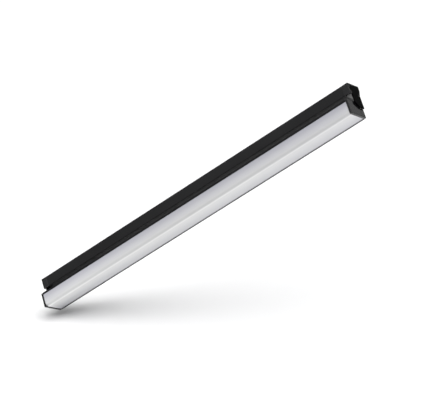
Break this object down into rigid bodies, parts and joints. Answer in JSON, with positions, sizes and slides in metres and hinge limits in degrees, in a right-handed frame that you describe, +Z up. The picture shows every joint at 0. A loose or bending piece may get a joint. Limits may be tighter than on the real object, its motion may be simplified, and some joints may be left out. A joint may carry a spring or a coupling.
{
  "type": "vanity light bar",
  "caption": "Slim black wall light for above a mirror: a driver housing with a tilting lamp head hung below it on side arms, its front and underside an opal diffuser.",
  "frame": {"origin": "on the wall plane, at the middle of the wall bracket", "axes": "+X along the bar to the end with the lead, +Y into the wall, +Z up"},
  "size_m": [0.6, 0.0405, 0.0505],
  "materials": {
    "housing_black": "satin black powder coat on aluminium extrusion",
    "arm_black": "satin black powder coat on steel plate",
    "cap_black": "gloss black moulded end cap",
    "trim_black": "gloss black trim panel",
    "head_black": "satin black powder coat on aluminium extrusion",
    "opal_diffuser": "opal translucent acrylic, low gloss",
    "bracket_steel": "zinc plated sheet steel",
    "screw_steel": "zinc plated",
    "screw_black": "black oxide",
    "pivot_brass": "turned brass",
    "terminal_brass": "nickel free brass",
    "bush_rubber": "matt black rubber",
    "seal_silicone": "grey silicone",
    "ring_nylon": "natural nylon",
    "terminal_plastic": "off white polyamide",
    "driver_plastic": "white polycarbonate",
    "circuit_board": "green solder mask on glass fibre board",
    "ferrite": "matt dark grey ferrite core",
    "capacitor_sleeve": "dark blue shrink sleeve",
    "lead_brown": "brown insulation",
    "lead_blue": "blue insulation",
    "lead_green": "green insulation with a yellow stripe",
    "lead_white": "white sheath",
    "lead_grey": "dark grey insulation",
    "lead_red": "red insulation",
    "light_board": "white solder mask on aluminium board",
    "led_package": "pale yellow phosphor in a white package"
  },
  "bodies": {
    "housing": {"wall_bracket": "bracket_steel", "cable_grommet": "bush_rubber", "earth_screw": "terminal_brass", "terminal_block": "terminal_plastic", "terminal_screws": "terminal_brass", "driver_case": "driver_plastic", "driver_lid": "driver_plastic", "driver_board": "circuit_board", "driver_transformer": "ferrite", "driver_capacitors": "capacitor_sleeve", "driver_screws": "screw_steel", "live_lead": "lead_brown", "neutral_lead": "lead_blue", "earth_lead": "lead_green", "output_lead": "lead_white", "housing_profile": "housing_black", "housing_end_cap_left": "cap_black", "housing_end_cap_right": "cap_black", "housing_screws": "screw_black", "side_arm_left": "arm_black", "side_arm_right": "arm_black", "arm_screws": "screw_black", "stop_pins": "screw_steel", "arm_lead": "lead_grey", "arm_lead_cover": "arm_black"},
    "head": {"head_profile": "head_black", "diffuser": "opal_diffuser", "head_end_cap_left": "cap_black", "head_end_cap_right": "cap_black", "head_trim_left": "trim_black", "head_trim_right": "trim_black", "head_gasket_left": "seal_silicone", "head_gasket_right": "seal_silicone", "head_cap_screws": "screw_steel", "trunnion_left": "pivot_brass", "trunnion_right": "pivot_brass", "friction_rings": "ring_nylon", "led_board": "light_board", "leds": "led_package", "board_screws": "screw_steel", "led_lead": "lead_red"}
  },
  "joints": [
    {"name": "head_tilt", "type": "hinge", "parent": "housing", "child": "head", "pos_m": [0, -0.0115, -0.0242], "axis": [-1, 0, 0], "range_deg": [-10, 25]}
  ]
}
